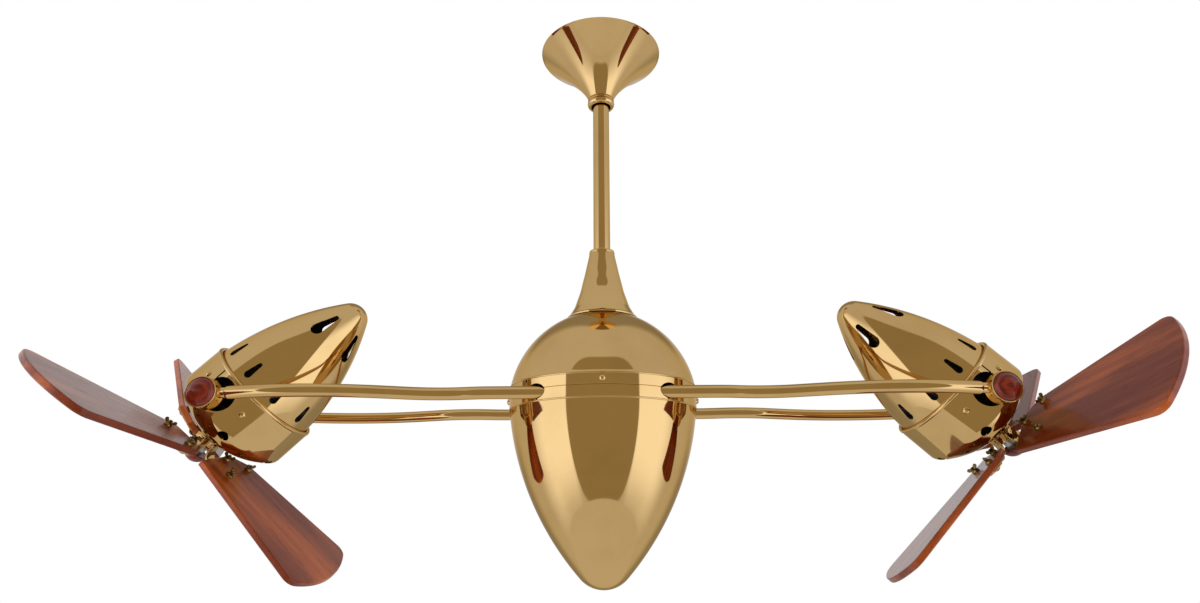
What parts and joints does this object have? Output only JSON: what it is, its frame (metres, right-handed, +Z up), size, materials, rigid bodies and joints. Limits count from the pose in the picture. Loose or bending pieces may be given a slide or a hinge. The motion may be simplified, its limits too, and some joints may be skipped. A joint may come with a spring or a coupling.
{
  "type": "twin head ceiling fan",
  "caption": "Ceiling fan whose tilting motor heads sit between bent tube arms on a swivelling egg-shaped brass body, each head turning wooden paddle blades.",
  "frame": {"origin": "centre of the ceiling face, midway between the ceiling screws", "axes": "+Z up into the ceiling, +X along the arms towards the right head, the front of the fan faces -Y"},
  "size_m": [1.073, 0.378, 0.629],
  "materials": {
    "polished_brass": "polished and lacquered",
    "antique_brass": "darkened",
    "mahogany": "gloss lacquer over reddish grain",
    "steel": "machined",
    "cast_iron": "dark paint",
    "copper": "enamelled wire",
    "bronze": "sintered",
    "phenolic": "moulded",
    "rubber": "matt"
  },
  "bodies": {
    "ceiling_mount": {"ceiling_bracket": "steel", "canopy": "polished_brass", "canopy_collar": "rubber", "hanger_ball": "cast_iron", "rod_pins": "steel", "downrod": "polished_brass", "spindle": "steel", "spindle_nut": "steel", "slip_ring": "bronze"},
    "swivel_body": {"neck_cone": "polished_brass", "upper_dome": "polished_brass", "lower_bowl": "polished_brass", "arm_carrier": "cast_iron", "arm_clamps": "cast_iron", "swivel_bushes": "bronze", "thrust_bearing": "steel", "brush_holder": "phenolic", "body_screws": "polished_brass", "left_front_arm": "polished_brass", "left_rear_arm": "polished_brass", "right_front_arm": "polished_brass", "right_rear_arm": "polished_brass", "left_pivot_cups": "polished_brass", "right_pivot_cups": "polished_brass", "left_cabochons": "mahogany", "right_cabochons": "mahogany"},
    "left_head": {"left_front_shell": "polished_brass", "left_rear_dome": "polished_brass", "left_motor_frame": "cast_iron", "left_rear_bell": "cast_iron", "left_stator": "steel", "left_windings": "copper", "left_bearings": "steel", "left_shell_screws": "polished_brass"},
    "left_rotor": {"left_shaft": "steel", "left_rotor_core": "steel", "left_hub": "polished_brass", "left_blade_irons": "polished_brass", "left_blade_1": "mahogany", "left_blade_2": "mahogany", "left_blade_3": "mahogany", "left_blade_fasteners": "antique_brass", "left_finial": "mahogany"},
    "right_head": {"right_front_shell": "polished_brass", "right_rear_dome": "polished_brass", "right_motor_frame": "cast_iron", "right_rear_bell": "cast_iron", "right_stator": "steel", "right_windings": "copper", "right_bearings": "steel", "right_shell_screws": "polished_brass"},
    "right_rotor": {"right_shaft": "steel", "right_rotor_core": "steel", "right_hub": "polished_brass", "right_blade_irons": "polished_brass", "right_blade_1": "mahogany", "right_blade_2": "mahogany", "right_blade_3": "mahogany", "right_blade_fasteners": "antique_brass", "right_finial": "mahogany"}
  },
  "joints": [
    {"name": "body_swivel", "type": "hinge", "parent": "ceiling_mount", "child": "swivel_body", "pos_m": [0, 0, -0.442], "axis": [0, 0, 1], "continuous": true},
    {"name": "left_head_tilt", "type": "hinge", "parent": "swivel_body", "child": "left_head", "pos_m": [-0.3872, 0, -0.442], "axis": [0, 1, 0], "range_deg": [-46, 134]},
    {"name": "right_head_tilt", "type": "hinge", "parent": "swivel_body", "child": "right_head", "pos_m": [0.3872, 0, -0.442], "axis": [0, -1, 0], "range_deg": [-47, 133]},
    {"name": "left_rotor_spin", "type": "hinge", "parent": "left_head", "child": "left_rotor", "pos_m": [-0.38588, 0, -0.44337], "axis": [-0.7193, 0, -0.6947], "continuous": true},
    {"name": "right_rotor_spin", "type": "hinge", "parent": "right_head", "child": "right_rotor", "pos_m": [0.3859, 0, -0.44339], "axis": [0.7314, 0, -0.682], "continuous": true}
  ]
}
